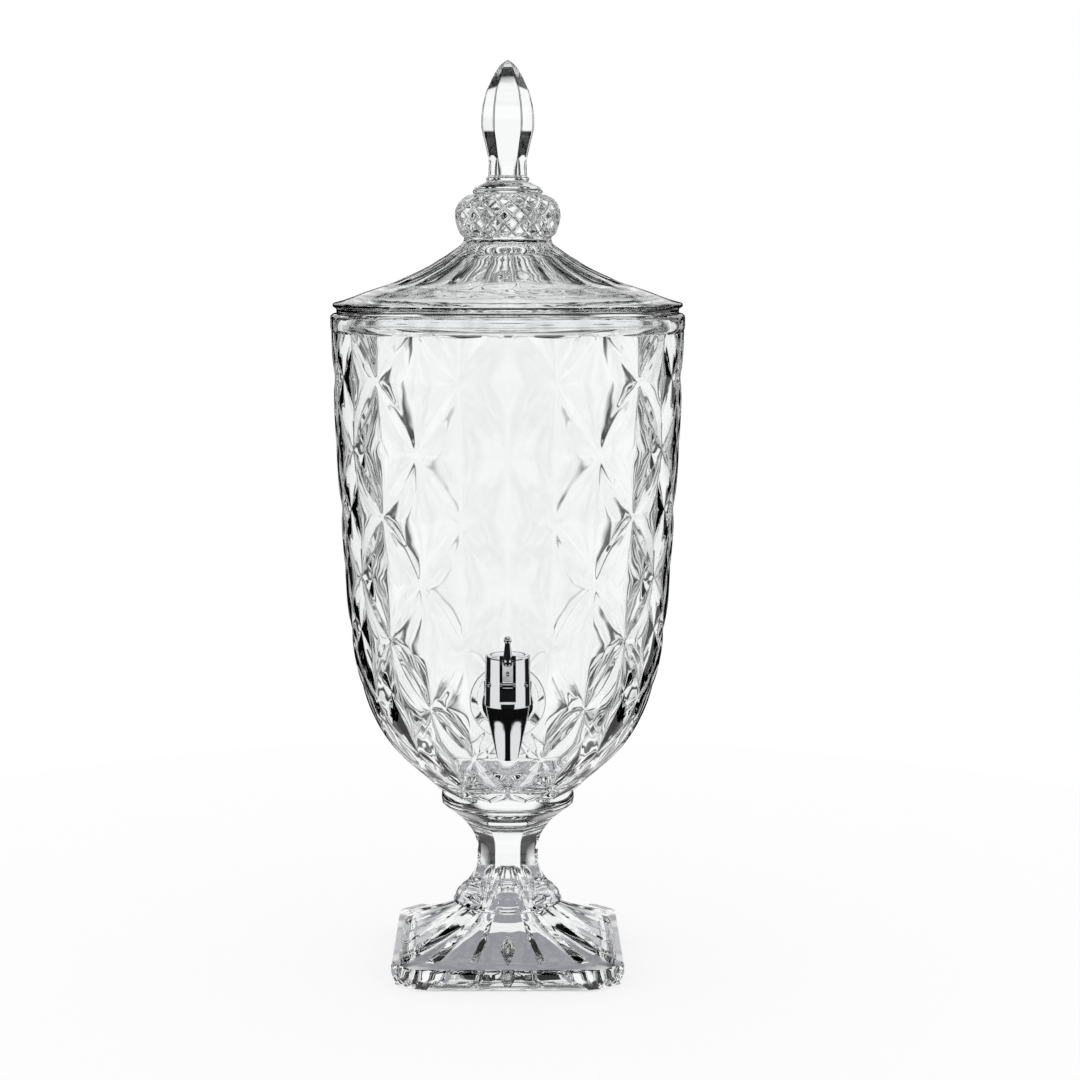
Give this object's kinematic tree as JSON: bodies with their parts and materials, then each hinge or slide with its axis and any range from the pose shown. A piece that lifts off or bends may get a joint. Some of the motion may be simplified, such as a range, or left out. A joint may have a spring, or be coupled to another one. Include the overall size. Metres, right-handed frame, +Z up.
{
  "type": "glass beverage dispenser",
  "caption": "Footed glass drink urn with a diamond-cut bowl, a lift-off fluted lid with a spear finial, and a chromed lever tap that closes by itself.",
  "frame": {"origin": "centre of the overall bounding box at the level the foot stands on; the bowl's axis stands 12.3 mm behind it", "axes": "+Z up along the bowl, -Y towards the tap, +X to the right as seen from the front"},
  "size_m": [0.2018, 0.2264, 0.52],
  "materials": {
    "clear_glass": "clear pressed glass, fire-polished",
    "chrome_plate": "bright chrome plate on cast brass",
    "stainless_steel": "plain stainless steel",
    "silicone": "milky food-grade silicone",
    "dark_rubber": "black nitrile rubber",
    "dark_nylon": "black moulded nylon"
  },
  "bodies": {
    "vessel": {"bowl": "clear_glass", "pedestal": "clear_glass", "tap_body": "chrome_plate", "tap_cap": "chrome_plate", "lever_pin": "stainless_steel", "outer_washer": "silicone", "inner_washer": "silicone", "plain_washer": "stainless_steel", "lock_nut": "dark_nylon"},
    "cover": {"lid": "clear_glass", "finial": "clear_glass"},
    "lever": {"tap_lever": "chrome_plate"},
    "valve": {"valve_stem": "dark_nylon", "seat_cup": "silicone", "stem_seal": "dark_rubber", "return_spring": "stainless_steel"}
  },
  "joints": [
    {"name": "lid_lift", "type": "slide", "parent": "vessel", "child": "cover", "axis": [0, 0, 1], "range_m": [0, 0.12]},
    {"name": "lever_tilt", "type": "hinge", "parent": "vessel", "child": "lever", "pos_m": [0, -0.1079, 0.18605], "axis": [1, 0, 0], "range_deg": [0, 25], "stiffness_Nm_per_rad": 0.017, "springref_deg": -32.66},
    {"name": "stem_lift", "type": "slide", "parent": "vessel", "child": "valve", "axis": [0, 0, 1], "range_m": [0, 0.00306], "deforming": ["return_spring"]}
  ],
  "couplings": [
    {"joint": "stem_lift", "follows": "lever_tilt", "m_per_rad": 0.007}
  ]
}
